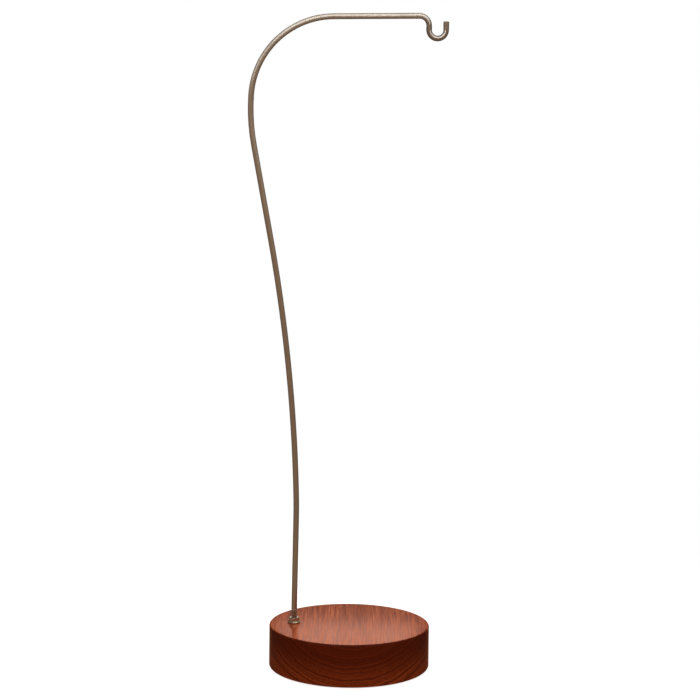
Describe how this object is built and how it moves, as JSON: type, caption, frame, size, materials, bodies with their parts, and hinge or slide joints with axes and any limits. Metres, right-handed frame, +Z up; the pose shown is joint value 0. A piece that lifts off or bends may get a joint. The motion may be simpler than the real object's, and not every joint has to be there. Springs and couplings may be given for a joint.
{
  "type": "hanging stand",
  "caption": "Table-top hanging stand: a round wooden base and a bent steel rod that curves over to a small open hook; the rod can be swung round on its foot.",
  "frame": {"origin": "on the axis of the round base, at the surface that the stand rests on", "axes": "+Z up along the base's axis; the rod's foot is on the -X side and the arm and hook reach towards +X; +Y is away from a viewer who faces the stand with its hook on the right"},
  "size_m": [0.1717, 0.14, 0.5666],
  "materials": {
    "wood": "reddish-brown hardwood with a satin lacquer, grain from front to back",
    "rod_steel": "satin drawn steel",
    "nut_steel": "plated steel, slightly dull",
    "felt": "dark pressed felt"
  },
  "bodies": {
    "stand": {"base": "wood", "washer": "nut_steel", "foot_pad_1": "felt", "foot_pad_2": "felt", "foot_pad_3": "felt", "foot_pad_4": "felt"},
    "mast": {"rod": "rod_steel", "top_nut": "nut_steel", "lower_nut": "nut_steel"}
  },
  "joints": [
    {"name": "arm_swivel", "type": "hinge", "parent": "stand", "child": "mast", "pos_m": [-0.0484, 0, 0.037], "axis": [0, 0, 1], "continuous": true}
  ]
}
